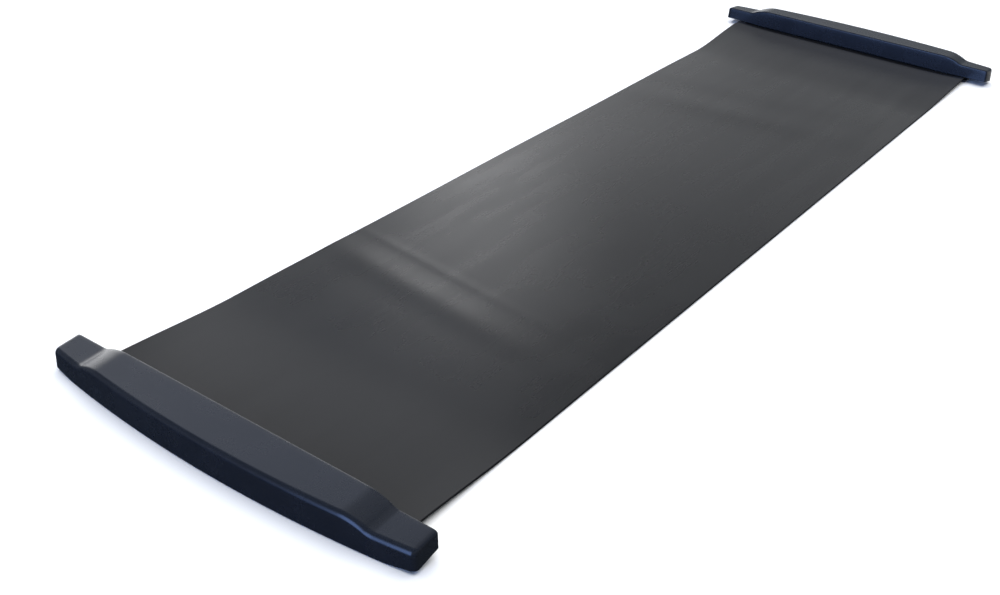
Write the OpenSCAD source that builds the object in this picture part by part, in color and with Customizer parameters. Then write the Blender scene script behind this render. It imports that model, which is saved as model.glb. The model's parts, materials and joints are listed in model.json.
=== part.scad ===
// Roll-out slide board: a slick flexible sheet on a non-slip backing, with a moulded stop at each end.
// Millimetres. +X runs along the board, +Z is up, and the origin is on the floor under the sheet's middle.

/* [Sheet] */
// Cut length of the sheet, with both clamped ends
sheet_length = 1830; // [1500:10:2400]
// Width of the sheet
sheet_width = 500; // [420:10:504]
// Thickness of the slick sliding layer
slick_thickness = 2; // [1:0.5:2]
// Thickness of the non-slip backing
backing_thickness = 1.5; // [1:0.5:1.5]
// How far the sheet reaches inside each stop
clamp_depth = 35.5; // [30:0.5:36]
// Length over which the sheet climbs from the floor to the stop
rise_run = 220; // [120:10:260]

/* [End stop] */
// Length of a stop, across the board
stop_length = 586; // [576:2:620]
// Depth of a stop at its ends, along the board
end_depth = 39.5; // [38:0.5:45]
// Extra depth of a stop at its middle, where its outer side bows out
bow = 22.5; // [22:0.5:30]
// Height of the raised middle
raised_height = 45.5; // [42:0.5:60]
// Height of the low pads at both ends
pad_height = 35; // [32:0.5:38]
// Distance from the stop's middle to where the shoulder begins
shoulder_start = 195; // [150:5:200]
// Distance from the stop's middle to the shoulder's foot
shoulder_foot = 241; // [230:1:250]
// Wall thickness of the cover
wall = 3; // [2:0.5:3]
// How much lower the top is at its outer side than at its inner side
top_slope = 3; // [0:0.5:4]
// How much the outer side's lower edge rises towards the stop's ends
end_rise = 4.5; // [0:0.5:6]

/* [Edges] */
// Radius of the rolled outer top edge
roll_radius = 7.5; // [6:0.5:10]
// Radius of the inner top edge
inner_edge_radius = 3; // [1:0.5:4]
// Radius of the upright outer corners
corner_radius = 6.5; // [5:0.5:10]
// How much further out the end faces stand at the floor than at the top
end_draft = 2; // [1:0.5:5]

/* [Fastening] */
// Radius of the bolts and screws
screw_radius = 2; // [1.5:0.1:2.2]
// Clamp bolts in each stop
clamp_bolts = 8; // [4:1:8]
// Distance between neighbouring clamp bolts
clamp_pitch = 65; // [50:1:65]

/* [Lifting ends] */
// Distance from a stop's inner face to the nearest bend line
first_bend = 70; // [60:5:80]
// Distance between neighbouring bend lines
bend_pitch = 100; // [80:5:120]

/* [Hidden] */
$fn = 48;
weld = 0.01;
sheet_thickness = slick_thickness + backing_thickness;
stop_x = sheet_length / 2 - clamp_depth;
half_stop = stop_length / 2;
bow_radius = (half_stop * half_stop + bow * bow) / (2 * bow);
shadow_gap = 1;
rim_bevel = 1;

// Heights inside a stop
base_bottom = 2;
base_thickness = 2.5;
base_top = base_bottom + base_thickness;
sheet_top = base_top + sheet_thickness;
slot_play = 4;
slot_top = sheet_top + slot_play;
slot_half_width = 254;

// Gaps round the base plate
plate_gap = 0.4;
plate_edge = 0.5;
plate_arc_facets = 240;

// Clamp bar and its fasteners
bar_width = 20;
bar_thickness = 2.5;
bar_length = 490;
clamp_u = 19;
hole_play = 0.2;
hole_radius = screw_radius + hole_play;
snug_play = 0.05;
snug_radius = screw_radius + snug_play;
head_radius = 2 * screw_radius;
head_height = screw_radius;
recess_share = 0.6;
recess_depth = 1.2;
recess_width = 0.9;
nut_radius = 4;
nut_height = 3.2;
bolt_overhang = 1;
bolt_end = sheet_top + bar_thickness + nut_height + bolt_overhang;

// Cover screws: one row behind the sheet
cover_screw_u = 43;
cover_screw_y = [-178, -90, 0, 90, 178];
cover_screw_end = 19;
pilot_overrun = 1;
boss_radius = 5;
rib_thickness = 2;
rib_bottom = 18;
rib_y = [-214, -134, -45, 45, 134, 214];

// Rubber grip pads under a stop
pad_u = 31;
pad_y = [-190, -70, 70, 190];
grip_length = 90;
grip_width = 10;
grip_sink = 1;
grip_play = 0.2;

// The shoulder is a wide convex arc that runs into a tighter concave one
shoulder_run = shoulder_foot - shoulder_start;
shoulder_drop = raised_height - pad_height;
shoulder_angle = 2 * atan(shoulder_drop / shoulder_run);
shoulder_radii = shoulder_run / sin(shoulder_angle);
crest_share = 0.75;
crest_radius = crest_share * shoulder_radii;
foot_radius = (1 - crest_share) * shoulder_radii;

// Facets of the cover: along its length, and round the edges of its cross-section
middle_steps = 9;
shoulder_steps = 14;
corner_steps = 5;
inner_edge_steps = 3;
roll_steps = 7;

// Near an end the skin's inner face and top turn in by these shares of the corner rounding
corner_share_in = 0.25;
corner_share_down = 0.45;

// How suddenly the draft of the end faces sets in towards the ends
draft_power = 24;

// Smallest radii of the edges on the cover's inside
least_inner_radius = 0.4;
least_roll_radius = 0.8;

// Steps along a piece of the sheet
sheet_steps = 16;

// Colours
slick_colour = [0.20, 0.20, 0.215];
backing_colour = [0.04, 0.04, 0.045];
fastener_colour = [0.7, 0.7, 0.72];

// ---- Shared functions ----

// Smooth step from 0 to 1
function smooth(t) = let (s = min(1, max(0, t))) s * s * (3 - 2 * s);

// Height of the sheet's underside at a distance x from the board's middle
function sheet_lift(x) = base_top * smooth((abs(x) - (stop_x - rise_run)) / rise_run);

// Depth of the stop at y, on the arc of its outer side
function depth_at(y) = end_depth + bow - bow_radius + sqrt(bow_radius * bow_radius - y * y);

// Drop of the shoulder at a distance s past its start
function drop_at(s) =
    s <= 0 ? 0
    : s < crest_radius * sin(shoulder_angle) ? crest_radius - sqrt(pow(crest_radius, 2) - s * s)
    : s < shoulder_run ? shoulder_drop - foot_radius + sqrt(pow(foot_radius, 2) - pow(shoulder_run - s, 2))
    : shoulder_drop;

// Height of the stop's top at y, at its inner side
function top_at(y) = raised_height - drop_at(abs(y) - shoulder_start);

// Points of an arc in the depth and height plane
function arc(u, z, r, from, to, steps) =
    [for (i = [0 : steps]) let (a = from + (to - from) * i / steps) [u + r * cos(a), z + r * sin(a)]];

// Cross-section of a skin at y, from its inner foot over the top to its outer foot.
// in, out and down set the skin back from the inner face, the outer face and the top.
// feet holds the heights of the inner and the outer foot.
function section(y, in, out, down, feet) =
    let (
        top = top_at(y) - down,
        back = depth_at(y) - out,
        r_in = max(least_inner_radius, inner_edge_radius - min(in, down)),
        r_out = max(least_roll_radius, roll_radius - min(out, down))
    )
    concat(
        [[in, feet[0]]],
        arc(in + r_in, top - r_in, r_in, 180, 90, inner_edge_steps),
        arc(back - r_out, top - top_slope - r_out, r_out, 90, 0, roll_steps),
        [[back, feet[1]]]
    );

// ---- Cover ----

// Stations along one half of a skin: [distance from the middle, share of the corner rounding]
function stations(reach, corner) = concat(
    [for (i = [0 : middle_steps - 1]) [shoulder_start * i / middle_steps, 0]],
    [for (i = [0 : shoulder_steps]) [shoulder_start + shoulder_run * i / shoulder_steps, 0]],
    [[slot_half_width, 0], [slot_half_width + wall, 0]],
    [for (i = [0 : corner_steps])
        let (a = 90 * i / corner_steps) [reach - corner * (1 - sin(a)), 1 - cos(a)]]
);
function both_halves(list) = concat(
    [for (i = [len(list) - 1 : -1 : 1]) [-list[i][0], list[i][1]]],
    list
);

// Rings of one skin, as points in space. The end faces lean in by end_draft over the pad's height.
// The feet stand higher by middle_feet along the sheet and by end_feet beyond it.
function skin(reach, corner, in, out, down, middle_feet, end_feet) = [
    for (s = both_halves(stations(reach, corner)))
        let (
            y = s[0],
            e = s[1] * corner,
            lean = end_draft * pow(abs(y) / reach, draft_power) * sign(y),
            beyond = max(0, abs(y) - slot_half_width) / (half_stop - slot_half_width),
            more = abs(y) > slot_half_width ? end_feet : middle_feet,
            feet = [slot_top, shadow_gap + end_rise * beyond] + more
        )
        [for (p = section(y, in + corner_share_in * e, out + e, down + corner_share_down * e, feet))
            [p[0], y - lean * p[1] / pad_height, p[1]]]
];

function flatten(lists) = [for (l = lists) for (p = l) p];

// Shell between two skins with the same number of rings and the same number of points in a ring.
// It is open below along the sheet. Its ends are closed by a floor that slopes down to the outer side.
module shell(outer, inner) {
    rings = len(outer);
    per = len(outer[0]);
    last = rings - 1;
    end = per - 1;
    near = corner_steps + 2;
    far = last - near;
    function n(i, j) = i * per + j % per;
    function o(i, j) = (rings + i) * per + j % per;
    outer_floors = concat([for (i = [0 : near - 1]) i], [for (i = [far : last - 1]) i]);
    inner_floors = concat([for (i = [0 : near - 2]) i], [for (i = [far + 1 : last - 1]) i]);
    faces = concat(
        [for (i = [0 : last - 1]) for (j = [0 : end - 1]) [n(i, j), n(i, j + 1), n(i + 1, j + 1)]],
        [for (i = [0 : last - 1]) for (j = [0 : end - 1]) [n(i, j), n(i + 1, j + 1), n(i + 1, j)]],
        [for (i = [0 : last - 1]) for (j = [0 : end - 1]) [o(i, j), o(i + 1, j + 1), o(i, j + 1)]],
        [for (i = [0 : last - 1]) for (j = [0 : end - 1]) [o(i, j), o(i + 1, j), o(i + 1, j + 1)]],
        [[for (j = [end : -1 : 0]) n(0, j)], [for (j = [0 : end]) n(last, j)]],
        [[for (j = [0 : end]) o(0, j)], [for (j = [end : -1 : 0]) o(last, j)]],
        [for (i = [near : far - 1]) [n(i, 0), n(i + 1, 0), o(i + 1, 0), o(i, 0)]],
        [for (i = [near : far - 1]) [n(i, end), o(i, end), o(i + 1, end)]],
        [for (i = [near : far - 1]) [n(i, end), o(i + 1, end), n(i + 1, end)]],
        [for (i = outer_floors) [o(i, end), o(i + 1, 0), o(i, 0)]],
        [for (i = outer_floors) [o(i, end), o(i + 1, end), o(i + 1, 0)]],
        [for (i = inner_floors) [n(i, end), n(i, 0), n(i + 1, 0)]],
        [for (i = inner_floors) [n(i, end), n(i + 1, 0), n(i + 1, end)]],
        [
            [o(near, 0), o(near, end), n(near - 1, end)],
            [o(near, 0), n(near - 1, end), n(near - 1, 0)],
            [o(near, 0), n(near - 1, 0), n(near, 0)],
            [n(near - 1, end), o(near, end), n(near, end)],
            [o(far, end), o(far, 0), n(far + 1, 0)],
            [o(far, end), n(far + 1, 0), n(far + 1, end)],
            [n(far + 1, 0), o(far, 0), n(far, 0)],
            [o(far, end), n(far + 1, end), n(far, end)]
        ]
    );
    polyhedron(concat(flatten(inner), flatten(outer)), faces, convexity = 6);
}

module rib(y) {
    embed = wall / 2;
    outline = section(y, embed, embed, embed, [rib_bottom, rib_bottom]);
    translate([0, y + rib_thickness / 2, 0])
        rotate([90, 0, 0])
            linear_extrude(rib_thickness)
                polygon(outline);
}

module boss(u, y) {
    translate([u, y, base_top])
        cylinder(r = boss_radius, h = top_at(y) - top_slope - wall / 2 - base_top);
}

module cover() {
    color([0.15, 0.17, 0.22])
        difference() {
            union() {
                shell(
                    skin(half_stop, corner_radius, 0, 0, 0, [0, 0], [0, 0]),
                    skin(half_stop - wall, corner_radius - wall, wall, wall, wall, [0, rim_bevel], [wall, wall])
                );
                for (y = rib_y) rib(y);
                for (y = cover_screw_y) boss(cover_screw_u, y);
            }
            for (p = cover_screw_places())
                translate([p[0], p[1], base_top - pilot_overrun])
                    cylinder(r = snug_radius, h = cover_screw_end - base_top + 2 * pilot_overrun);
        }
}

// ---- Places of the fasteners ----

function cover_screw_places() = [for (y = cover_screw_y) [cover_screw_u, y]];
function clamp_places() =
    [for (i = [0 : clamp_bolts - 1]) [clamp_u, (i - (clamp_bolts - 1) / 2) * clamp_pitch]];

// ---- Parts of a stop, with its inner face at x = 0 and its outer side towards +X ----

// Outline of the base plate: it fills the cover's opening and reaches under the inner face
module base_outline() {
    half_length = slot_half_width - plate_edge;
    intersection() {
        translate([plate_edge, -half_length])
            square([end_depth + bow, 2 * half_length]);
        translate([end_depth + bow - bow_radius, 0])
            circle(r = bow_radius - wall - plate_gap, $fn = plate_arc_facets);
    }
}

module base_plate() {
    color([0.07, 0.07, 0.08])
        difference() {
            translate([0, 0, base_bottom])
                linear_extrude(base_thickness)
                    base_outline();
            for (p = concat(clamp_places(), cover_screw_places()))
                translate([p[0], p[1], base_bottom])
                    countersink();
            for (y = pad_y)
                translate([pad_u, y, base_bottom - 1])
                    linear_extrude(grip_sink + 1)
                        stadium(grip_length + 2 * grip_play, grip_width + 2 * grip_play);
        }
}

module countersink() {
    translate([0, 0, -1])
        cylinder(r = hole_radius, h = base_thickness + 2);
    cylinder(r1 = head_radius + hole_play, r2 = hole_radius, h = head_height);
}

module stadium(length, width) {
    square([width, length - width], center = true);
    for (side = [-1, 1])
        translate([0, side * (length - width) / 2])
            circle(r = width / 2);
}

module grip_pad(index) {
    color([0.05, 0.05, 0.05])
        translate([pad_u, pad_y[index], 0])
            linear_extrude(base_bottom + grip_sink)
                stadium(grip_length, grip_width);
}

module clamp_bar() {
    color([0.1, 0.1, 0.1])
        difference() {
            translate([clamp_u - bar_width / 2, -bar_length / 2, sheet_top])
                cube([bar_width, bar_length, bar_thickness]);
            for (p = clamp_places())
                translate([p[0], p[1], sheet_top - 1])
                    cylinder(r = hole_radius, h = bar_thickness + 2);
        }
}

// Countersunk screw with a cross recess, head down, its head's face at z = 0
module countersunk_screw(length) {
    difference() {
        union() {
            cylinder(r1 = head_radius, r2 = screw_radius, h = head_height);
            cylinder(r = screw_radius, h = length);
        }
        for (turn = [0, 90])
            rotate([0, 0, turn])
                translate([-head_radius * recess_share, -recess_width / 2, -1])
                    cube([2 * head_radius * recess_share, recess_width, recess_depth + 1]);
    }
}

module clamp_bolt_set() {
    color(fastener_colour)
        for (p = clamp_places())
            translate([p[0], p[1], base_bottom])
                countersunk_screw(bolt_end - base_bottom);
}

module clamp_nut_set() {
    color(fastener_colour)
        for (p = clamp_places())
            translate([p[0], p[1], sheet_top + bar_thickness])
                difference() {
                    cylinder(r = nut_radius, h = nut_height, $fn = 6);
                    translate([0, 0, -1])
                        cylinder(r = snug_radius, h = nut_height + 2);
                }
}

module cover_screw_set() {
    color(fastener_colour)
        for (p = cover_screw_places())
            translate([p[0], p[1], base_bottom])
                countersunk_screw(cover_screw_end - base_bottom);
}

// ---- Sheet and backing ----

// A layer of the sheet between two distances from the board's middle, bottom to top of the layer
module layer(from, to, bottom, thickness) {
    run = [for (i = [0 : sheet_steps]) from + (to - from) * i / sheet_steps];
    under = [for (x = run) [x, sheet_lift(x) + bottom]];
    over = [for (i = [sheet_steps : -1 : 0]) [run[i], sheet_lift(run[i]) + bottom + thickness]];
    translate([0, sheet_width / 2, 0])
        rotate([90, 0, 0])
            linear_extrude(sheet_width)
                polygon(concat(under, over));
}

module flat_layer(bottom, thickness) {
    reach = bend_line(1);
    translate([-reach, -sheet_width / 2, bottom])
        cube([2 * reach, sheet_width, thickness]);
}

// Distance from the board's middle to bend line 1, 2 or 3, counted outwards
function bend_line(index) = stop_x - first_bend - bend_pitch * (3 - index);

module layer_link(index, bottom, thickness) {
    if (index < 3) {
        layer(bend_line(index), bend_line(index + 1), bottom, thickness);
    } else {
        difference() {
            union() {
                layer(bend_line(3), stop_x, bottom, thickness);
                translate([stop_x - weld, -sheet_width / 2, base_top + bottom])
                    cube([clamp_depth + weld, sheet_width, thickness]);
            }
            for (p = clamp_places())
                translate([stop_x + p[0], p[1], 0])
                    cylinder(r = hole_radius, h = slot_top);
        }
    }
}

module slick_link(index) {
    color(slick_colour)
        layer_link(index, backing_thickness, slick_thickness);
}

module backing_link(index) {
    color(backing_colour)
        layer_link(index, 0, backing_thickness);
}

module at_right() {
    translate([stop_x, 0, 0])
        children();
}

module at_left() {
    rotate([0, 0, 180])
        translate([stop_x, 0, 0])
            children();
}

module slide_sheet_middle() {
    color(slick_colour)
        flat_layer(backing_thickness, slick_thickness);
}

module backing_middle() {
    color(backing_colour)
        flat_layer(0, backing_thickness);
}

slide_sheet_middle();
rotate([0, 0, 180]) slick_link(1);  // left_slide_sheet_1
rotate([0, 0, 180]) slick_link(2);  // left_slide_sheet_2
rotate([0, 0, 180]) slick_link(3);  // left_slide_sheet_3
slick_link(1);  // right_slide_sheet_1
slick_link(2);  // right_slide_sheet_2
slick_link(3);  // right_slide_sheet_3
backing_middle();
rotate([0, 0, 180]) backing_link(1);  // left_backing_1
rotate([0, 0, 180]) backing_link(2);  // left_backing_2
rotate([0, 0, 180]) backing_link(3);  // left_backing_3
backing_link(1);  // right_backing_1
backing_link(2);  // right_backing_2
backing_link(3);  // right_backing_3
at_left() cover();  // left_cover
at_left() base_plate();  // left_base_plate
at_left() clamp_bar();  // left_clamp_bar
at_left() clamp_bolt_set();  // left_clamp_bolts
at_left() clamp_nut_set();  // left_clamp_nuts
at_left() cover_screw_set();  // left_cover_screws
at_left() grip_pad(0);  // left_grip_pad_1
at_left() grip_pad(1);  // left_grip_pad_2
at_left() grip_pad(2);  // left_grip_pad_3
at_left() grip_pad(3);  // left_grip_pad_4
at_right() cover();  // right_cover
at_right() base_plate();  // right_base_plate
at_right() clamp_bar();  // right_clamp_bar
at_right() clamp_bolt_set();  // right_clamp_bolts
at_right() clamp_nut_set();  // right_clamp_nuts
at_right() cover_screw_set();  // right_cover_screws
at_right() grip_pad(0);  // right_grip_pad_1
at_right() grip_pad(1);  // right_grip_pad_2
at_right() grip_pad(2);  // right_grip_pad_3
at_right() grip_pad(3);  // right_grip_pad_4
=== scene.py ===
"""Looks of a roll-out slide board: a slick flexible sheet on a backing, with a moulded stop at each end.

Metres. +X runs along the board, +Z is up, and the origin is on the floor under the sheet's middle.
"""

import json
import math

import bpy
import numpy as np
from mathutils import Matrix, Vector


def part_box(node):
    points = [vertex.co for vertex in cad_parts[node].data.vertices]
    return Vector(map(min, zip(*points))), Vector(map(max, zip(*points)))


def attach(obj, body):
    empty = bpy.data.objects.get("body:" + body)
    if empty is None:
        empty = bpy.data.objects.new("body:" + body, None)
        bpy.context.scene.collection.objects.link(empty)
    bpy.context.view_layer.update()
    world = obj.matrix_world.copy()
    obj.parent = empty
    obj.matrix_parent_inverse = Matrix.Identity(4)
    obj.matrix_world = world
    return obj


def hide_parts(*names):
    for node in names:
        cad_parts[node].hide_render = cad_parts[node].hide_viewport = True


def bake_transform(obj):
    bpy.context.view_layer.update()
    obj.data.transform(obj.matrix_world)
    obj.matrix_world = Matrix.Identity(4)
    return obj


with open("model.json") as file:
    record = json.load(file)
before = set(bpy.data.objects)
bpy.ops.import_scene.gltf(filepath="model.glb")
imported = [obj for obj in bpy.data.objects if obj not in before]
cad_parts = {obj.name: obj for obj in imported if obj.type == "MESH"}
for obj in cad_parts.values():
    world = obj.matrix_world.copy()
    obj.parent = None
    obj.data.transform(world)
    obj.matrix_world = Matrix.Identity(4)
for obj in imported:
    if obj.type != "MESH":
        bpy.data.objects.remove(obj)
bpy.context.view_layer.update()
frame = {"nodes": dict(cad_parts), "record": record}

# ---- Sizes of a stop: from the CAD boxes where they show there, and else the part's own dimensions ----
COVER_LOW, COVER_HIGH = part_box("right_cover")
STOP_X = COVER_LOW.x
HALF_STOP = 0.293
RAISED_HEIGHT = COVER_HIGH.z
SHADOW_GAP = COVER_LOW.z  # under the outer side
STOP_DEPTH = COVER_HIGH.x - COVER_LOW.x
BOW = 0.0225
END_DEPTH = STOP_DEPTH - BOW
PAD_HEIGHT = 0.035
SHOULDER_START = 0.195
SHOULDER_FOOT = 0.241
CREST_SHARE = 0.75  # the shoulder's upper arc, as a share of both its radii
WALL = 0.003
TOP_SLOPE = 0.003  # how much lower the top is at its outer side
END_RISE = 0.0045  # how much higher the outer side's lower edge is at the ends
ROLL_RADIUS = 0.0075
INNER_EDGE_RADIUS = 0.003
CORNER_RADIUS = 0.0065
CORNER_SHARE_IN = 0.25  # the end's corners round off this share as much on the inner side
CORNER_SHARE_DOWN = 0.45  # and this share on the top
END_DRAFT = 0.002  # the end faces lean in by this over the pad's height
DRAFT_POWER = 24  # keeps the draft near the ends
SLOT_HALF_WIDTH = 0.254
SLOT_TOP = 0.012
RIM_BEVEL = 0.001

# ---- Sizes of the sheet and its backing ----
HALF_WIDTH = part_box("slide_sheet_middle")[1].y
BACKING_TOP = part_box("backing_middle")[1].z
SLICK_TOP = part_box("slide_sheet_middle")[1].z
BEND_1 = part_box("right_slide_sheet_1")[0].x
BEND_2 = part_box("right_slide_sheet_2")[0].x
BEND_3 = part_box("right_slide_sheet_3")[0].x
SHEET_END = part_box("right_slide_sheet_3")[1].x
CLAMPED_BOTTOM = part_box("right_backing_3")[1].z - BACKING_TOP
RISE_RUN = 0.220
HALF_ZONE = (BEND_2 - BEND_1) / 2  # how far from a hinge the sheet still bends
SHEET_EDGE = 0.0004  # how far the layers' edges are rounded out
CURL_HEIGHT = 0.0034
CURL_WIDTH = 0.035
CLAMP_REACH = 0.009  # how far inside a stop the clamp bar has pressed the sheet flat
FLARE = 0.012
FLARE_RUN = 0.24

# Waves left from being rolled up. A fold is a line across the sheet: where it meets the sheet's middle
# line, and its slant. A wave is the fold it runs along, its height, its distance from the fold, its width,
# and then the middle and half width of its reach across the sheet.
LEFT_FOLD = (-0.4305, 0.129)
RIGHT_FOLD = (0.408, -0.12)
WAVES = (
    (LEFT_FOLD, 0.0013, -0.062, 0.030, 0.06, 0.20),
    (LEFT_FOLD, 0.0003, 0.002, 0.009, 0.06, 0.20),
    (LEFT_FOLD, 0.0005, -0.235, 0.045, 0.01, 0.13),
    (RIGHT_FOLD, 0.0012, 0.0, 0.045, 0.02, 0.19),
    (RIGHT_FOLD, 0.0007, 0.11, 0.045, 0.02, 0.19),
)
SWELL_HEIGHT = 0.0005
WAVE_FADE = 0.16  # the waves fade over this length before the second hinge


def smooth(t):
    """0 up to t = 0, 1 from t = 1, and a smooth rise between."""
    s = np.clip(t, 0.0, 1.0)
    return s * s * (3 - 2 * s)


# ---- Mesh helpers ----
def new_object(name, points, faces, sharp_degrees=30.0):
    """A smooth-shaded mesh object whose edges above an angle stay sharp."""
    mesh = bpy.data.meshes.new(name)
    mesh.from_pydata([tuple(p) for p in points], [], faces)
    mesh.validate()
    mesh.shade_smooth()
    mesh.set_sharp_from_angle(angle=math.radians(sharp_degrees))
    mesh.update()
    obj = bpy.data.objects.new(name, mesh)
    bpy.context.scene.collection.objects.link(obj)
    return obj


def keep_rest_place(obj):
    """Stores each point's place at rest, so that a material stays put when the piece bends."""
    mesh = obj.data
    places = np.empty(len(mesh.vertices) * 3, np.float32)
    mesh.vertices.foreach_get("co", places)
    mesh.attributes.new("rest_place", "FLOAT_VECTOR", "POINT").data.foreach_set("vector", places)


# ---- Cover of a stop ----
BOW_RADIUS = (HALF_STOP**2 + BOW**2) / (2 * BOW)
SHOULDER_RUN = SHOULDER_FOOT - SHOULDER_START
SHOULDER_DROP = RAISED_HEIGHT - PAD_HEIGHT
SHOULDER_ANGLE = 2 * math.atan(SHOULDER_DROP / SHOULDER_RUN)
SHOULDER_RADII = SHOULDER_RUN / math.sin(SHOULDER_ANGLE)
CREST_RADIUS = CREST_SHARE * SHOULDER_RADII
FOOT_RADIUS = (1 - CREST_SHARE) * SHOULDER_RADII

# Faces of a skin around its section, and along one half of it
SIDE_STEPS = 4
INNER_EDGE_STEPS = 6
TOP_STEPS = 8
ROLL_STEPS = 14
RAISED_STEPS = 20
SHOULDER_STEPS = 30
PAD_STEPS = 4
CORNER_STEPS = 10
OPEN_RING = CORNER_STEPS + PAD_STEPS + 1  # from an end to the opening for the sheet and base plate
LEAST_INNER_RADIUS = 0.0004
LEAST_ROLL_RADIUS = 0.0008


def depth_at(y):
    """Depth of the cover, which bows out between its ends."""
    return END_DEPTH + BOW - BOW_RADIUS + math.sqrt(BOW_RADIUS**2 - y * y)


def top_at(y):
    """Height of the cover's top along its inner side: raised, then a rounded shoulder, then the pad."""
    s = abs(y) - SHOULDER_START
    if s <= 0:
        return RAISED_HEIGHT
    if s < CREST_RADIUS * math.sin(SHOULDER_ANGLE):
        return RAISED_HEIGHT - CREST_RADIUS + math.sqrt(CREST_RADIUS**2 - s * s)
    if s < SHOULDER_RUN:
        to_foot = SHOULDER_RUN - s
        return PAD_HEIGHT + FOOT_RADIUS - math.sqrt(FOOT_RADIUS**2 - to_foot * to_foot)
    return PAD_HEIGHT


def arc(u, z, r, start, end, steps):
    """Points on an arc about (u, z) between two angles in degrees."""
    turns = [math.radians(start + (end - start) * i / steps) for i in range(steps + 1)]
    return [(u + r * math.cos(a), z + r * math.sin(a)) for a in turns]


def between(a, b, steps):
    """Points strictly between two points."""
    along = [i / steps for i in range(1, steps)]
    return [(a[0] + (b[0] - a[0]) * t, a[1] + (b[1] - a[1]) * t) for t in along]


def section(y, inset, outset, down, feet):
    """Cross-section of a skin of the cover: inner foot, over the top, to the outer foot."""
    top = top_at(y) - down
    back = depth_at(y) - outset
    r_in = max(LEAST_INNER_RADIUS, INNER_EDGE_RADIUS - min(inset, down))
    r_out = max(LEAST_ROLL_RADIUS, ROLL_RADIUS - min(outset, down))
    inner_edge = arc(inset + r_in, top - r_in, r_in, 180, 90, INNER_EDGE_STEPS)
    roll = arc(back - r_out, top - TOP_SLOPE - r_out, r_out, 90, 0, ROLL_STEPS)
    start, end = (inset, feet[0]), (back, feet[1])
    return (
        [start]
        + between(start, inner_edge[0], SIDE_STEPS)
        + inner_edge
        + between(inner_edge[-1], roll[0], TOP_STEPS)
        + roll
        + between(roll[-1], end, SIDE_STEPS)
        + [end]
    )


def stations(reach, corner):
    """Places along a skin from end to end, each with its share of the corner rounding."""
    places = [(SHOULDER_START * i / RAISED_STEPS, 0.0) for i in range(RAISED_STEPS)]
    for i in range(SHOULDER_STEPS + 1):
        places.append((SHOULDER_START + SHOULDER_RUN * i / SHOULDER_STEPS, 0.0))
    places.append((SLOT_HALF_WIDTH, 0.0))
    pad = SLOT_HALF_WIDTH + WALL
    places += [(pad + (reach - corner - pad) * i / PAD_STEPS, 0.0) for i in range(PAD_STEPS)]
    for i in range(CORNER_STEPS + 1):
        a = math.radians(90 * i / CORNER_STEPS)
        places.append((reach - corner * (1 - math.sin(a)), 1 - math.cos(a)))
    return [(-y, e) for y, e in reversed(places[1:])] + places


def skin(reach, corner, inset, outset, down, middle_feet, end_feet):
    """Rings of one skin, whose feet stand higher by middle_feet along the sheet and by end_feet beyond it.

    Each pair of heights is for the inner and the outer foot.
    """
    rings = []
    for y, share in stations(reach, corner):
        e = share * corner
        lean = END_DRAFT * (abs(y) / reach) ** DRAFT_POWER * math.copysign(1, y)
        more = end_feet if abs(y) > SLOT_HALF_WIDTH else middle_feet
        beyond = max(0.0, abs(y) - SLOT_HALF_WIDTH) / (HALF_STOP - SLOT_HALF_WIDTH)
        feet = (SLOT_TOP + more[0], SHADOW_GAP + END_RISE * beyond + more[1])
        ring = section(y, inset + CORNER_SHARE_IN * e, outset + e, down + CORNER_SHARE_DOWN * e, feet)
        rings.append([(u, y - lean * z / PAD_HEIGHT, z) for u, z in ring])
    return rings


def cover_mesh(side):
    """Outer and inner skin of one cover, open below along the sheet, with sloping floors at its ends."""
    outer = skin(HALF_STOP, CORNER_RADIUS, 0, 0, 0, (0, 0), (0, 0))
    reach, corner = HALF_STOP - WALL, CORNER_RADIUS - WALL
    inner = skin(reach, corner, WALL, WALL, WALL, (0, RIM_BEVEL), (WALL, WALL))
    rings, per = len(outer), len(outer[0])
    last = per - 1
    end = rings - 1
    points = [p for ring in outer + inner for p in ring]
    faces = []

    def at(layer, i, j):
        return (layer * rings + i) * per + j

    for i in range(end):
        for j in range(last):
            faces.append((at(0, i, j), at(0, i + 1, j), at(0, i + 1, j + 1), at(0, i, j + 1)))
            faces.append((at(1, i, j), at(1, i, j + 1), at(1, i + 1, j + 1), at(1, i + 1, j)))
        if OPEN_RING <= i < end - OPEN_RING:
            faces.append((at(0, i, 0), at(1, i, 0), at(1, i + 1, 0), at(0, i + 1, 0)))
            faces.append((at(0, i, last), at(0, i + 1, last), at(1, i + 1, last), at(1, i, last)))
        else:
            faces.append((at(0, i, 0), at(0, i, last), at(0, i + 1, last), at(0, i + 1, 0)))
        if i < OPEN_RING - 1 or i > end - OPEN_RING:
            faces.append((at(1, i, 0), at(1, i + 1, 0), at(1, i + 1, last), at(1, i, last)))
    for layer in (0, 1):
        first = [at(layer, 0, j) for j in range(per)]
        final = [at(layer, end, j) for j in range(per)]
        faces.append(tuple(first if layer == 0 else first[::-1]))
        faces.append(tuple(final[::-1] if layer == 0 else final))
    for edge, step in ((OPEN_RING, -1), (end - OPEN_RING, 1)):
        nearer = edge + step
        for face in (
            (at(0, edge, 0), at(1, nearer, 0), at(1, nearer, last), at(0, edge, last)),
            (at(0, edge, 0), at(1, edge, 0), at(1, nearer, 0)),
            (at(1, nearer, last), at(1, edge, last), at(0, edge, last)),
        ):
            faces.append(face if step < 0 else face[::-1])
    placed = [(side * (STOP_X + u), side * y, z) for u, y, z in points]
    return placed, faces


# ---- Sheet and backing ----
def sheet_lift(x):
    """Height of the sheet's underside above the floor, where it climbs to a stop."""
    return CLAMPED_BOTTOM * smooth((np.abs(x) - (STOP_X - RISE_RUN)) / RISE_RUN)


def bump(s, width):
    """A smooth hump: 1 at s = 0, and near 0 beyond twice the width."""
    return np.exp(-((s / width) ** 2))


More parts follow.
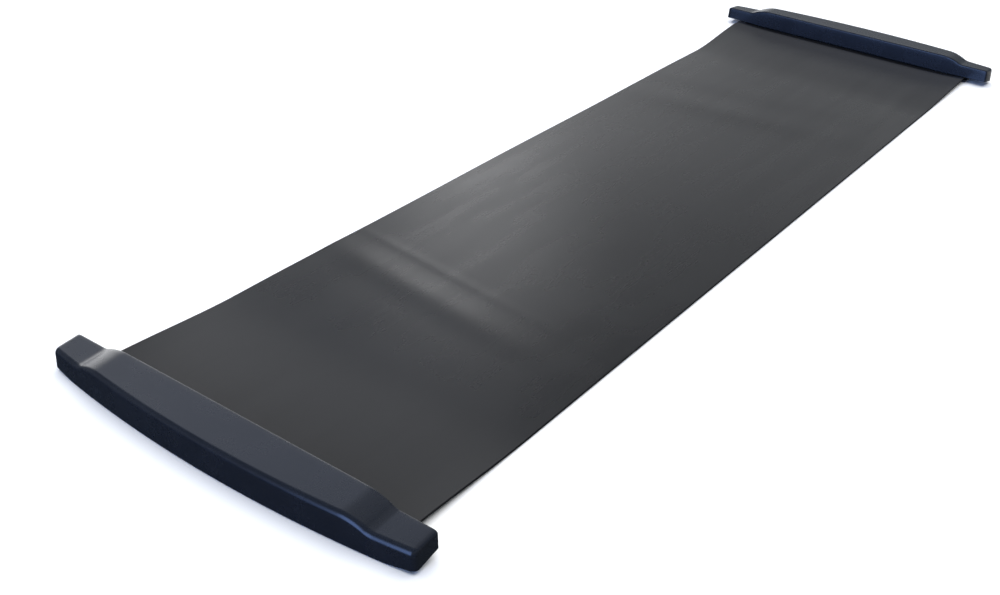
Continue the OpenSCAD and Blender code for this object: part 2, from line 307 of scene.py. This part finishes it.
def ripple(x, y):
    """Shallow waves that a sheet keeps from being rolled up. They never go below the floor."""
    height = SWELL_HEIGHT * (1 + np.sin(11.0 * x + 1.3 + 2.0 * y) * np.cos(4.0 * y - 0.6))
    for fold, rise, offset, width, middle, reach in WAVES:
        from_fold = x - (fold[0] + fold[1] * y)
        height += rise * bump(from_fold - offset, width) * bump(y - middle, reach)
    return height * smooth((BEND_2 - np.abs(x)) / WAVE_FADE)


def edge_curl(x, y):
    """The sheet's long edges curl up where it nears a stop, and lie flat again under the clamp bar."""
    beyond = np.abs(x) - STOP_X
    rise = smooth((beyond + RISE_RUN) / RISE_RUN) * (1 - smooth(beyond / CLAMP_REACH))
    from_edge = HALF_WIDTH - np.abs(y)
    return CURL_HEIGHT * rise * np.exp(-from_edge / CURL_WIDTH)


def corner_flare(x, y):
    """How far the sheet's right end stands out sideways at one corner, beside the stop."""
    rise = smooth((x - STOP_X + FLARE_RUN) / FLARE_RUN) * (1 - smooth((x - STOP_X) / CLAMP_REACH))
    return FLARE * rise * smooth(y / HALF_WIDTH) ** 2


ACROSS_POINTS = 57  # points from one long edge of a layer to the other


def layer_piece(name, start, end, bottom, top, step):
    """A closed piece of one layer between two places along the board."""
    count = max(2, round(abs(end - start) / step))
    xs = np.linspace(start, end, count + 1)
    across = np.linspace(-1.0, 1.0, ACROSS_POINTS)
    rows = []
    for x in xs:
        y = across * (HALF_WIDTH - SHEET_EDGE)
        low = sheet_lift(x) + ripple(x, y) + edge_curl(x, y)
        placed = y + corner_flare(x, y)
        under = np.stack([np.full_like(y, x), placed, low + bottom], 1)
        over = np.stack([np.full_like(y, x), placed, low + top], 1)[::-1]
        middle = (bottom + top) / 2
        right = np.array([[x, placed[-1] + SHEET_EDGE, low[-1] + middle]])
        left = np.array([[x, placed[0] - SHEET_EDGE, low[0] + middle]])
        rows.append(np.concatenate([under, right, over, left]))
    per = len(rows[0])
    points = np.concatenate(rows)
    forward = end > start
    faces = []
    for i in range(count):
        for j in range(per):
            k = (j + 1) % per
            quad = (i * per + j, (i + 1) * per + j, (i + 1) * per + k, i * per + k)
            faces.append(quad if forward else quad[::-1])
    n = ACROSS_POINTS
    for i, turned in ((0, forward), (count, not forward)):
        base = i * per
        right_tip, left_tip = base + n, base + per - 1
        for j in range(n - 1):
            quad = (base + j, base + j + 1, right_tip + n - j - 1, right_tip + n - j)
            faces.append(quad if turned else quad[::-1])
        for tip, a, b in ((right_tip, right_tip - 1, right_tip + 1), (left_tip, left_tip - 1, base)):
            faces.append((a, tip, b) if turned else (b, tip, a))
    obj = new_object(name, points, faces, sharp_degrees=30.0)
    keep_rest_place(obj)
    return obj


# ---- Materials: lengths in metres, and noise scales per metre ----
PLASTIC_IOR = 1.5
SLICK_SPECULAR = 0.30

# Wear of the sheet towards its ends, and painted light and shade there: how far from the middle each
# change starts and is full
SCUFFED = (0.62, 0.86)
SCUFF_ROUGHNESS = 0.22
# The greying is wear, and painted light where the right end is greyed more than the left
GREYED = (0.68, 0.87)
GREY = (0.033, 0.033, 0.034)
# Painted shade: in the strip before a stop's face the sheet keeps its darker colour
CLEAN_AND_SHADE_STRIP = (0.014, 0.010)  # the strip before a stop's face where the wear ends
LEFT_WEAR_AND_LIGHT = 0.25  # how much of the right end's greying the left end has
WEAR_AND_LIGHT_CHANGE = 0.1  # the two ends' shares meet this far from the middle


class Nodes:
    """Short names for building a node tree."""

    def __init__(self, material):
        material.use_nodes = True
        self.tree = material.node_tree
        self.shader = self.tree.nodes["Principled BSDF"]

    def node(self, kind, **settings):
        made = self.tree.nodes.new(kind)
        for key, value in settings.items():
            setattr(made, key, value)
        return made

    def link(self, a, b):
        self.tree.links.new(a, b)

    def place(self, kept=False):
        """Where a point is: its kept place at rest, for a piece that bends, or else its object's own."""
        if kept:
            return self.node("ShaderNodeAttribute", attribute_name="rest_place").outputs["Vector"]
        return self.node("ShaderNodeTexCoord").outputs["Object"]

    def scaled(self, vector, scale):
        made = self.node("ShaderNodeMapping")
        made.inputs["Scale"].default_value = scale
        self.link(vector, made.inputs["Vector"])
        return made.outputs["Vector"]

    def noise(self, vector, scale, detail=2.0, roughness=0.5, distortion=0.0):
        made = self.node("ShaderNodeTexNoise")
        made.inputs["Scale"].default_value = scale
        made.inputs["Detail"].default_value = detail
        made.inputs["Roughness"].default_value = roughness
        made.inputs["Distortion"].default_value = distortion
        self.link(vector, made.inputs["Vector"])
        return made.outputs["Fac"]

    def span(self, value, low, high, out_low, out_high):
        made = self.node("ShaderNodeMapRange")
        for key, number in (
            ("From Min", low),
            ("From Max", high),
            ("To Min", out_low),
            ("To Max", out_high),
        ):
            made.inputs[key].default_value = number
        self.link(value, made.inputs["Value"])
        return made.outputs["Result"]

    def math(self, operation, a, b):
        made = self.node("ShaderNodeMath", operation=operation)
        for socket, value in zip(made.inputs, (a, b)):
            if isinstance(value, (int, float)):
                socket.default_value = value
            else:
                self.link(value, socket)
        return made.outputs[0]

    def colour(self, factor, a, b):
        made = self.node("ShaderNodeMix", data_type="RGBA")
        for socket, value in ((made.inputs[6], a), (made.inputs[7], b)):
            if isinstance(value, tuple):
                socket.default_value = (*value, 1)
            else:
                self.link(value, socket)
        self.link(factor, made.inputs[0])
        return made.outputs[2]

    def bump(self, height, distance, strength=1.0, under=None):
        made = self.node("ShaderNodeBump")
        made.inputs["Distance"].default_value = distance
        made.inputs["Strength"].default_value = strength
        self.link(height, made.inputs["Height"])
        if under is not None:
            self.link(under, made.inputs["Normal"])
        return made.outputs["Normal"]

    def finish(self, colour, roughness, normal):
        for socket, value in (("Base Color", colour), ("Roughness", roughness), ("Normal", normal)):
            self.link(value, self.shader.inputs[socket])


def slick_material():
    """Satin charcoal polymer: faint mottling, a fine grain, soft scuffs along the slide, duller and greyer
    ends whose extra grey at the right end is painted light, and a dark strip before each stop that is
    painted shade.
    """
    material = bpy.data.materials.new("slick_sheet_finish")
    n = Nodes(material)
    place = n.place(kept=True)
    mottle = n.noise(place, scale=6.0, detail=4.0, roughness=0.55, distortion=0.3)
    speck = n.noise(place, scale=420.0, detail=2.0, roughness=0.6)
    scuffs = n.noise(n.scaled(place, (3.0, 26.0, 1.0)), scale=1.0, detail=4.0, roughness=0.55)
    shade = n.math("ADD", n.span(mottle, 0.3, 0.7, 0.0, 0.7), n.span(speck, 0.3, 0.7, 0.0, 0.3))
    colour = n.colour(shade, (0.0065, 0.0065, 0.0072), (0.0100, 0.0100, 0.0110))
    rough = n.math("ADD", n.span(scuffs, 0.35, 0.7, 0.26, 0.30), n.span(mottle, 0.3, 0.7, -0.015, 0.015))

    axes = n.node("ShaderNodeSeparateXYZ")
    n.link(place, axes.inputs["Vector"])
    from_middle = n.math("ABSOLUTE", axes.outputs["X"], 0.0)
    # Painted shade: the greying stops short of each stop's face, which leaves a dark strip there
    outside_shade_strip = n.span(from_middle, STOP_X - CLEAN_AND_SHADE_STRIP[0], STOP_X - CLEAN_AND_SHADE_STRIP[1], 1.0, 0.0)
    scuffed = n.math("MULTIPLY", outside_shade_strip, n.span(from_middle, *SCUFFED, 0.0, SCUFF_ROUGHNESS))
    rough = n.math("ADD", rough, scuffed)
    # Painted light: the left end gets only part of the right end's greying
    share = n.span(axes.outputs["X"], -WEAR_AND_LIGHT_CHANGE, WEAR_AND_LIGHT_CHANGE, LEFT_WEAR_AND_LIGHT, 1.0)
    share = n.math("MULTIPLY", outside_shade_strip, share)
    greyed = n.math("MULTIPLY", share, n.span(from_middle, *GREYED, 0.0, 1.0))
    colour = n.colour(greyed, colour, GREY)

    peel = n.noise(place, scale=60.0, detail=2.0, roughness=0.5)
    grain = n.noise(place, scale=900.0, detail=2.0, roughness=0.6)
    normal = n.bump(peel, 0.00003, 0.5)
    normal = n.bump(grain, 0.000008, 0.6, normal)
    n.finish(colour, rough, normal)
    n.shader.inputs["IOR"].default_value = PLASTIC_IOR
    n.shader.inputs["Specular IOR Level"].default_value = SLICK_SPECULAR
    return material


def backing_material():
    """Matt black rubbery backing with a woven, non-slip surface."""
    material = bpy.data.materials.new("backing_finish")
    n = Nodes(material)
    place = n.place(kept=True)
    cells = n.node("ShaderNodeTexVoronoi", feature="F1")
    cells.inputs["Scale"].default_value = 330.0
    cells.inputs["Randomness"].default_value = 0.15
    n.link(place, cells.inputs["Vector"])
    dots = n.span(cells.outputs["Distance"], 0.15, 0.55, 1.0, 0.0)
    wear = n.noise(place, scale=14.0, detail=4.0, roughness=0.6)
    colour = n.colour(n.math("MULTIPLY", dots, wear), (0.009, 0.009, 0.010), (0.030, 0.030, 0.031))
    rough = n.span(wear, 0.3, 0.7, 0.78, 0.92)
    normal = n.bump(dots, 0.0004, 0.8)
    normal = n.bump(n.noise(place, scale=1500.0), 0.00005, 0.5, normal)
    n.finish(colour, rough, normal)
    return material


def moulded_material(name, dark, light, rough_low, rough_high, grain_height):
    """Moulded plastic, or the clamp bar's near-black coat, which is painted shade for the slot under a
    stop: a fine grain, slow waviness and slightly varied gloss.
    """
    material = bpy.data.materials.new(name)
    n = Nodes(material)
    place = n.place()
    slow = n.noise(place, scale=18.0, detail=3.0, roughness=0.55)
    haze = n.noise(place, scale=130.0, detail=3.0, roughness=0.6)
    grain = n.noise(place, scale=1300.0, detail=2.0, roughness=0.65)
    colour = n.colour(n.span(slow, 0.3, 0.7, 0.0, 1.0), dark, light)
    gloss = n.span(slow, 0.3, 0.7, rough_low, rough_high)
    rough = n.math("ADD", gloss, n.span(haze, 0.35, 0.65, -0.01, 0.01))
    normal = n.bump(slow, 0.0001, 0.4)
    normal = n.bump(grain, grain_height, 0.5, normal)
    n.finish(colour, rough, normal)
    n.shader.inputs["IOR"].default_value = PLASTIC_IOR
    return material


def rubber_material():
    """Moulded rubber pad with fine ribs across it."""
    material = bpy.data.materials.new("grip_rubber_finish")
    n = Nodes(material)
    place = n.place()
    ribs = n.node("ShaderNodeTexWave", wave_type="BANDS", bands_direction="Y", wave_profile="SIN")
    ribs.inputs["Scale"].default_value = 110.0
    ribs.inputs["Distortion"].default_value = 0.0
    n.link(place, ribs.inputs["Vector"])
    dust = n.noise(place, scale=240.0, detail=4.0, roughness=0.6)
    colour = n.colour(n.span(dust, 0.4, 0.75, 0.0, 1.0), (0.010, 0.010, 0.010), (0.028, 0.027, 0.026))
    rough = n.span(dust, 0.3, 0.7, 0.8, 0.95)
    normal = n.bump(ribs.outputs["Fac"], 0.0004, 0.8)
    normal = n.bump(n.noise(place, scale=1600.0), 0.00005, 0.5, normal)
    n.finish(colour, rough, normal)
    return material


def zinc_material():
    """Zinc-plated steel: fine lines from turning, and the plating's faint colour changes."""
    material = bpy.data.materials.new("fastener_steel_finish")
    n = Nodes(material)
    place = n.place()
    lines = n.noise(n.scaled(place, (500.0, 500.0, 60.0)), scale=1.0, detail=4.0, roughness=0.7)
    bloom = n.noise(place, scale=160.0, detail=3.0, roughness=0.6)
    colour = n.colour(n.span(bloom, 0.3, 0.7, 0.0, 1.0), (0.42, 0.43, 0.45), (0.56, 0.56, 0.55))
    rough = n.math("ADD", n.span(lines, 0.3, 0.7, 0.26, 0.42), n.span(bloom, 0.3, 0.7, -0.03, 0.05))
    normal = n.bump(lines, 0.00003, 0.7)
    n.finish(colour, rough, normal)
    n.shader.inputs["Metallic"].default_value = 1.0
    return material


def floor_material():
    """Plain matt near-white."""
    material = bpy.data.materials.new("floor_finish")
    n = Nodes(material)
    n.shader.inputs["Base Color"].default_value = (0.97, 0.97, 0.97, 1)
    n.shader.inputs["Roughness"].default_value = 0.9
    n.shader.inputs["Specular IOR Level"].default_value = 0.1
    return material


MATERIALS = {
    "slick_sheet": slick_material(),
    "backing": backing_material(),
    "stop_plastic": moulded_material(
        "stop_plastic_finish",
        dark=(0.0070, 0.0092, 0.0150),
        light=(0.0090, 0.0116, 0.0186),
        rough_low=0.24,
        rough_high=0.30,
        grain_height=0.00001,
    ),
    "base_plastic": moulded_material(
        "base_plastic_finish",
        dark=(0.011, 0.011, 0.012),
        light=(0.016, 0.016, 0.017),
        rough_low=0.5,
        rough_high=0.6,
        grain_height=0.00008,
    ),
    # Painted shade: the clamp bar is near-black so that the slot under each stop stays dark
    "clamp_steel": moulded_material(
        "clamp_bar_painted_shade",
        dark=(0.010, 0.010, 0.011),
        light=(0.017, 0.017, 0.018),
        rough_low=0.42,
        rough_high=0.55,
        grain_height=0.00015,
    ),
    "fastener_steel": zinc_material(),
    "grip_rubber": rubber_material(),
}


def dress(obj, slot):
    obj.data.materials.clear()
    obj.data.materials.append(MATERIALS[slot])


for part in frame["record"]["subparts"]:
    dress(frame["nodes"][part["node"]], part["material_slot"])

# ---- Visible pieces ----
SIDES = ((-1, "left"), (1, "right"))
LAYERS = (
    ("slick_sheet", "slide_sheet", BACKING_TOP, SLICK_TOP),
    ("backing", "backing", 0.0, BACKING_TOP),
)
# Pieces of a layer from the board's middle to a stop: start, end, the hinge each bends at, the length of
# its faces, and how it is held
PIECES = (
    ("inner", 0.0, BEND_1 + HALF_ZONE, BEND_1, 0.006, "laid"),
    ("bend", BEND_1 + HALF_ZONE, BEND_2 + HALF_ZONE, BEND_2, 0.004, "laid"),
    ("clamped", BEND_2 + HALF_ZONE, SHEET_END, BEND_3, 0.004, "stretched"),
)

for slot, node, bottom, top in LAYERS:
    for side, name in SIDES:
        for i, (part, start, end, hinge, step, held) in enumerate(PIECES):
            piece = layer_piece(f"{name}_{node}_{part}", side * start, side * end, bottom, top, step)
            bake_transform(piece)
            dress(piece, slot)
            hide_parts(f"{name}_{node}_{i + 1}")
            if part == "inner":
                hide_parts(f"{node}_middle")

for side, name in SIDES:
    points, faces = cover_mesh(side)
    cover = new_object(f"{name}_stop_cover", points, faces, sharp_degrees=40.0)
    dress(cover, "stop_plastic")
    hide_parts(f"{name}_cover")
    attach(cover, f"{name}_stop")

# ---- Floor, light and camera ----
FLOOR_HALF = 9.0
FLOOR_GAP = 0.0003  # keeps the floor clear of the underside
corners = [(x * FLOOR_HALF, y * FLOOR_HALF, 0) for x, y in ((-1, -1), (1, -1), (1, 1), (-1, 1))]
floor = new_object("floor", corners, [(0, 1, 2, 3)])
floor.location.z = -FLOOR_GAP
floor.data.materials.append(floor_material())
floor.visible_glossy = False

world = bpy.data.worlds.new("studio")
bpy.context.scene.world = world
world.use_nodes = True
sky = world.node_tree
sky.nodes.clear()
direction = sky.nodes.new("ShaderNodeTexCoord").outputs["Generated"]
split = sky.nodes.new("ShaderNodeSeparateXYZ")
sky.links.new(direction, split.inputs["Vector"])
flat = sky.nodes.new("ShaderNodeVectorMath")
flat.operation = "MULTIPLY"
flat.inputs[1].default_value = (1, 1, 0)
sky.links.new(direction, flat.inputs[0])
heading = sky.nodes.new("ShaderNodeVectorMath")
heading.operation = "NORMALIZE"
sky.links.new(flat.outputs["Vector"], heading.inputs[0])


def sky_step(value, start, end, low=0.0, high=1.0):
    """A smooth change from low to high between two values."""
    made = sky.nodes.new("ShaderNodeMapRange")
    made.interpolation_type = "SMOOTHSTEP"
    for key, number in (("From Min", start), ("From Max", end), ("To Min", low), ("To Max", high)):
        made.inputs[key].default_value = number
    sky.links.new(value, made.inputs["Value"])
    return made.outputs["Result"]


def sky_product(a, b):
    made = sky.nodes.new("ShaderNodeMath")
    made.operation = "MULTIPLY"
    for socket, value in zip(made.inputs, (a, b)):
        sky.links.new(value, socket)
    return made.outputs["Value"]


def sky_band(elevations, radiance):
    """A band all round, given the elevations where it starts, is full, still is full, and ends."""
    z = [math.sin(math.radians(angle)) for angle in elevations]
    rise = sky_step(split.outputs["Z"], z[0], z[1])
    return sky_product(rise, sky_step(split.outputs["Z"], z[2], z[3], radiance, 0.0))


def sky_panel(azimuth, core, edge, elevations, radiance):
    """A soft-edged piece of a band: full within core degrees of its azimuth, and gone at edge degrees."""
    near = sky.nodes.new("ShaderNodeVectorMath")
    near.operation = "DOT_PRODUCT"
    a = math.radians(azimuth)
    near.inputs[1].default_value = (math.cos(a), math.sin(a), 0)
    sky.links.new(heading.outputs["Vector"], near.inputs[0])
    across = sky_step(near.outputs["Value"], math.cos(math.radians(edge)), math.cos(math.radians(core)))
    return sky_product(across, sky_band(elevations, radiance))


def sky_shader(colour, value):
    made = sky.nodes.new("ShaderNodeBackground")
    made.inputs["Color"].default_value = (*colour, 1)
    sky.links.new(value, made.inputs["Strength"])
    return made.outputs["Background"]


NEUTRAL = (0.985, 0.985, 1.0)
TEAL = (0.8, 0.97, 1.1)
PALE = (0.86, 0.92, 1.1)
BLUE = (0.28, 0.46, 1.0)
GROUND_RADIANCE, SKY_RADIANCE = 0.05, 0.12
# Soft panels that the stops and the sheet reflect: colour, azimuth, core, edge, elevations and radiance
PANELS = (
    (NEUTRAL, 43, 11, 20, (-14, -8, 11, 20), 1.6),
    (NEUTRAL, 64, 8, 18, (-14, -8, 18, 36), 2.0),
    (PALE, 55, 12, 22, (30, 37, 49, 57), 0.85),
    (NEUTRAL, 37, 1, 5, (21, 25, 27, 31), 6.5),
    (NEUTRAL, 22, 7, 18, (14, 18, 25, 32), 0.65),
    (NEUTRAL, 10, 28, 45, (44, 52, 66, 74), 0.35),
    (NEUTRAL, -12, 8, 16, (-30, -25, -14, -9), 0.5),
    (BLUE, 174, 8, 19, (-24, -8, 24, 46), 5.8),
)
shaders = [
    sky_shader(TEAL, sky_step(split.outputs["Z"], -0.05, 0.07, GROUND_RADIANCE, SKY_RADIANCE)),
    sky_shader(NEUTRAL, sky_band((-3, 4, 34, 42), 0.13)),
]
shaders += [sky_shader(colour, sky_panel(*panel)) for colour, *panel in PANELS]
total = shaders[0]
for shader in shaders[1:]:
    add = sky.nodes.new("ShaderNodeAddShader")
    sky.links.new(total, add.inputs[0])
    sky.links.new(shader, add.inputs[1])
    total = add.outputs["Shader"]
world_output = sky.nodes.new("ShaderNodeOutputWorld")
sky.links.new(total, world_output.inputs["Surface"])

OVERHEAD_SIZE = 7.0
OVERHEAD_RADIANCE = 2.3
OVERHEAD_PLACE = (0.4, 0.3, 4.0)
lamp = bpy.data.lights.new("overhead", "AREA")
lamp.shape = "SQUARE"
lamp.size = OVERHEAD_SIZE
lamp.energy = OVERHEAD_RADIANCE * math.pi * OVERHEAD_SIZE**2
overhead = bpy.data.objects.new("overhead", lamp)
bpy.context.scene.collection.objects.link(overhead)
overhead.location = OVERHEAD_PLACE
overhead.visible_glossy = False

# The camera's place, and its directions to the right, down and ahead
CAMERA_PLACE = (-1.64829, -0.89471, 0.90907)
RIGHT = Vector((0.594599, -0.802996, 0.040612))
DOWN = Vector((-0.395624, -0.336176, -0.854674))
AHEAD = Vector((0.699952, 0.492121, -0.517574))
camera_data = bpy.data.cameras.new("camera")
camera_data.sensor_width = 36.0
camera_data.lens = 44.9551
camera_data.clip_start, camera_data.clip_end = 0.05, 60.0
camera = bpy.data.objects.new("camera", camera_data)
bpy.context.scene.collection.objects.link(camera)
camera.rotation_mode = "QUATERNION"
camera.rotation_quaternion = Matrix((RIGHT, -DOWN, -AHEAD)).transposed().to_quaternion().normalized()
camera.location = CAMERA_PLACE
bpy.context.scene.camera = camera
bpy.context.scene.view_settings.view_transform = "Standard"
